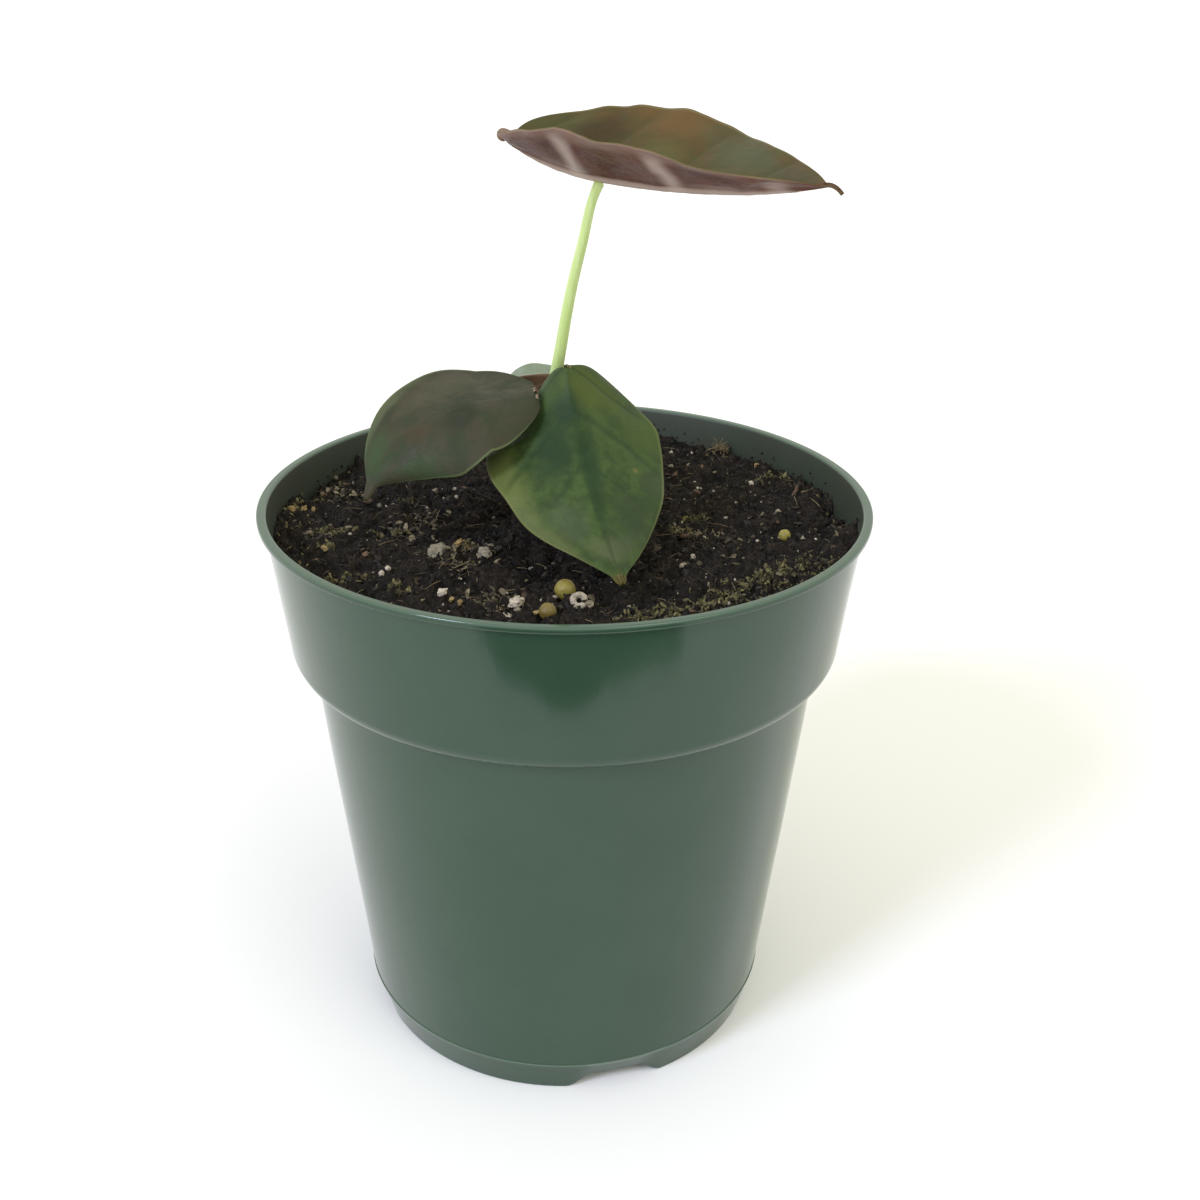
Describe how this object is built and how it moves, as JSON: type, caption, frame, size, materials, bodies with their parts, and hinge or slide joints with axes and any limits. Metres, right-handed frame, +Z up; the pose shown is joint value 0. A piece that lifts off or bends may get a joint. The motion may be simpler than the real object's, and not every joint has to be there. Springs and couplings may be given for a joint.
{
  "type": "potted alocasia cuprea",
  "caption": "Young potted alocasia: peltate pointed leaves on slender petioles rising from potting mix in a round tapered plastic nursery pot with a deep band and lip.",
  "frame": {"origin": "on the pot's axis, on the surface that the pot's foot ring rests on", "axes": "+Z up along the pot's axis, -Y to the front, where the front leaf hangs over the mix, +X to the right, where the top leaf points"},
  "size_m": [0.102, 0.102, 0.1581],
  "materials": {
    "pot_plastic": "satin",
    "potting_mix": "matte",
    "rhizome_skin": "matte",
    "petiole_skin": "satin",
    "leaf_copper": "satin",
    "leaf_dusk": "satin",
    "leaf_green": "satin",
    "leaf_pale": "satin"
  },
  "bodies": {
    "root": {"pot": "pot_plastic", "soil": "potting_mix", "rhizome": "rhizome_skin", "petiole_top": "petiole_skin", "petiole_left": "petiole_skin", "petiole_front": "petiole_skin", "petiole_back": "petiole_skin", "blade_top": "leaf_copper", "blade_left": "leaf_dusk", "blade_front": "leaf_green", "blade_back": "leaf_pale"}
  },
  "joints": []
}
